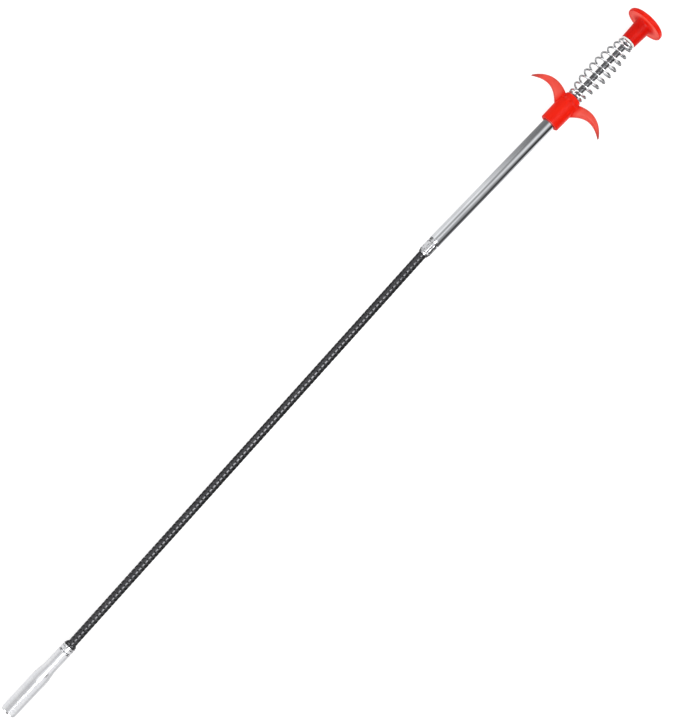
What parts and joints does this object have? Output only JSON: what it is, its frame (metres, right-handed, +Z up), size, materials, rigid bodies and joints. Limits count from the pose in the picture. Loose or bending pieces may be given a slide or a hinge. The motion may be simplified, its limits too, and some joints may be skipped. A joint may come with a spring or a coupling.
{
  "type": "drain auger",
  "caption": "Flexible spring claw drain auger: thumb plunger with return spring, finger grip, tube handle, long coil shaft and a nozzle that hides spreading claws.",
  "frame": {"origin": "centre of the overall length and width, on the surface that the button's rim and the nozzle rest on", "axes": "+X along the handle tube towards the thumb button, +Y to one finger horn, +Z up from the surface"},
  "size_m": [0.6, 0.059, 0.0265],
  "materials": {
    "red_plastic": "moulded, semi-gloss",
    "tube_steel": "bright plated",
    "rod_steel": "bright drawn",
    "ferrule_steel": "plated, crimped",
    "spring_steel": "bright plated wire",
    "claw_steel": "bright flat spring strip",
    "plain_steel": "turned",
    "cable_steel": "stranded wire",
    "nozzle_steel": "bright plated",
    "black_coil": "black, semi-gloss",
    "black_metal": "black, semi-gloss",
    "pale_plastic": "moulded"
  },
  "bodies": {
    "handle": {"handle_tube": "tube_steel", "tube_ferrule": "ferrule_steel", "finger_grip": "red_plastic", "guide_bush": "pale_plastic", "return_spring": "spring_steel", "shaft_section_01": "black_coil", "core_cable_01": "cable_steel"},
    "plunger": {"thumb_button": "red_plastic", "plunger_rod": "rod_steel", "spring_seat_washer": "pale_plastic", "stop_collar": "plain_steel", "cable_crimp": "plain_steel", "plunger_cable": "cable_steel"},
    "link_2": {"shaft_section_02": "black_coil", "core_cable_02": "cable_steel"},
    "link_3": {"shaft_section_03": "black_coil", "core_cable_03": "cable_steel"},
    "link_4": {"shaft_section_04": "black_coil", "core_cable_04": "cable_steel"},
    "link_5": {"shaft_section_05": "black_coil", "core_cable_05": "cable_steel"},
    "link_6": {"shaft_section_06": "black_coil", "core_cable_06": "cable_steel"},
    "link_7": {"shaft_section_07": "black_coil", "core_cable_07": "cable_steel"},
    "link_8": {"shaft_section_08": "black_coil", "core_cable_08": "cable_steel"},
    "link_9": {"shaft_section_09": "black_coil", "core_cable_09": "cable_steel"},
    "link_10": {"shaft_section_10": "black_coil", "core_cable_10": "cable_steel"},
    "link_11": {"shaft_section_11": "black_coil", "core_cable_11": "cable_steel"},
    "nozzle": {"shaft_section_12": "black_coil", "core_cable_12": "cable_steel", "shaft_end_ring": "black_metal", "nozzle_collar": "nozzle_steel", "claw_nozzle": "nozzle_steel"},
    "claw_carrier": {"claw_ferrule": "plain_steel", "claw_collar_coil": "spring_steel", "claw_cable": "cable_steel"},
    "claw_1": {"claw_1": "claw_steel"},
    "claw_2": {"claw_2": "claw_steel"},
    "claw_3": {"claw_3": "claw_steel"},
    "claw_4": {"claw_4": "claw_steel"}
  },
  "joints": [
    {"name": "plunger_slide", "type": "slide", "parent": "handle", "child": "plunger", "axis": [-1, 0, 0], "range_m": [0, 0.026], "stiffness_N_per_m": 300, "springref_m": -0.02, "deforming": ["return_spring"]},
    {"name": "shaft_bend_1", "type": "hinge", "parent": "handle", "child": "link_2", "pos_m": [0.06532, -0.001, 0.01308], "axis": [0, 0, 1], "range_deg": [-7.6, 7.6], "stiffness_Nm_per_rad": 6},
    {"name": "shaft_bend_2", "type": "hinge", "parent": "link_2", "child": "link_3", "pos_m": [0.03745, -0.00201, 0.01266], "axis": [0, 0, 1], "range_deg": [-7.6, 7.6]},
    {"name": "shaft_bend_3", "type": "hinge", "parent": "link_3", "child": "link_4", "pos_m": [0.00957, -0.00301, 0.01202], "axis": [0, 0, 1], "range_deg": [-7.6, 7.6]},
    {"name": "shaft_bend_4", "type": "hinge", "parent": "link_4", "child": "link_5", "pos_m": [-0.01831, -0.00402, 0.01122], "axis": [0, 0, 1], "range_deg": [-7.6, 7.6]},
    {"name": "shaft_bend_5", "type": "hinge", "parent": "link_5", "child": "link_6", "pos_m": [-0.04618, -0.00502, 0.01031], "axis": [0, 0, 1], "range_deg": [-7.6, 7.6]},
    {"name": "shaft_bend_6", "type": "hinge", "parent": "link_6", "child": "link_7", "pos_m": [-0.07406, -0.00602, 0.00934], "axis": [0, 0, 1], "range_deg": [-7.6, 7.6]},
    {"name": "shaft_bend_7", "type": "hinge", "parent": "link_7", "child": "link_8", "pos_m": [-0.10194, -0.00703, 0.00838], "axis": [0, 0, 1], "range_deg": [-7.6, 7.6]},
    {"name": "shaft_bend_8", "type": "hinge", "parent": "link_8", "child": "link_9", "pos_m": [-0.12982, -0.00803, 0.00747], "axis": [0, 0, 1], "range_deg": [-7.6, 7.6]},
    {"name": "shaft_bend_9", "type": "hinge", "parent": "link_9", "child": "link_10", "pos_m": [-0.15769, -0.00904, 0.00667], "axis": [0, 0, 1], "range_deg": [-7.6, 7.6]},
    {"name": "shaft_bend_10", "type": "hinge", "parent": "link_10", "child": "link_11", "pos_m": [-0.18557, -0.01004, 0.00603], "axis": [0, 0, 1], "range_deg": [-7.6, 7.6]},
    {"name": "shaft_bend_11", "type": "hinge", "parent": "link_11", "child": "nozzle", "pos_m": [-0.21345, -0.01105, 0.00561], "axis": [0, 0, 1], "range_deg": [-7.6, 7.6]},
    {"name": "claw_slide", "type": "slide", "parent": "nozzle", "child": "claw_carrier", "axis": [-0.9999, -0.0164, 0], "range_m": [0, 0.0262]},
    {"name": "claw_1_spread", "type": "hinge", "parent": "claw_carrier", "child": "claw_1", "pos_m": [-0.28344, -0.01133, 0.00687], "axis": [-0.0116, 0.707, -0.7071], "range_deg": [0, 45.5]},
    {"name": "claw_2_spread", "type": "hinge", "parent": "claw_carrier", "child": "claw_2", "pos_m": [-0.28339, -0.01415, 0.00687], "axis": [-0.0116, 0.707, 0.7071], "range_deg": [0, 45.5]},
    {"name": "claw_3_spread", "type": "hinge", "parent": "claw_carrier", "child": "claw_3", "pos_m": [-0.28339, -0.01415, 0.00404], "axis": [0.0116, -0.707, 0.7071], "range_deg": [0, 45.5]},
    {"name": "claw_4_spread", "type": "hinge", "parent": "claw_carrier", "child": "claw_4", "pos_m": [-0.28344, -0.01133, 0.00404], "axis": [0.0116, -0.707, -0.7071], "range_deg": [0, 45.5]}
  ],
  "couplings": [
    {"joint": "shaft_bend_2", "follows": "shaft_bend_1", "ratio": 1},
    {"joint": "shaft_bend_3", "follows": "shaft_bend_1", "ratio": 1},
    {"joint": "shaft_bend_4", "follows": "shaft_bend_1", "ratio": 1},
    {"joint": "shaft_bend_5", "follows": "shaft_bend_1", "ratio": 1},
    {"joint": "shaft_bend_6", "follows": "shaft_bend_1", "ratio": 1},
    {"joint": "shaft_bend_7", "follows": "shaft_bend_1", "ratio": 1},
    {"joint": "shaft_bend_8", "follows": "shaft_bend_1", "ratio": 1},
    {"joint": "shaft_bend_9", "follows": "shaft_bend_1", "ratio": 1},
    {"joint": "shaft_bend_10", "follows": "shaft_bend_1", "ratio": 1},
    {"joint": "shaft_bend_11", "follows": "shaft_bend_1", "ratio": 1},
    {"joint": "claw_slide", "follows": "plunger_slide", "ratio": 1},
    {"joint": "claw_1_spread", "follows": "plunger_slide", "rad_per_m": 30.2},
    {"joint": "claw_2_spread", "follows": "plunger_slide", "rad_per_m": 30.2},
    {"joint": "claw_3_spread", "follows": "plunger_slide", "rad_per_m": 30.2},
    {"joint": "claw_4_spread", "follows": "plunger_slide", "rad_per_m": 30.2}
  ]
}
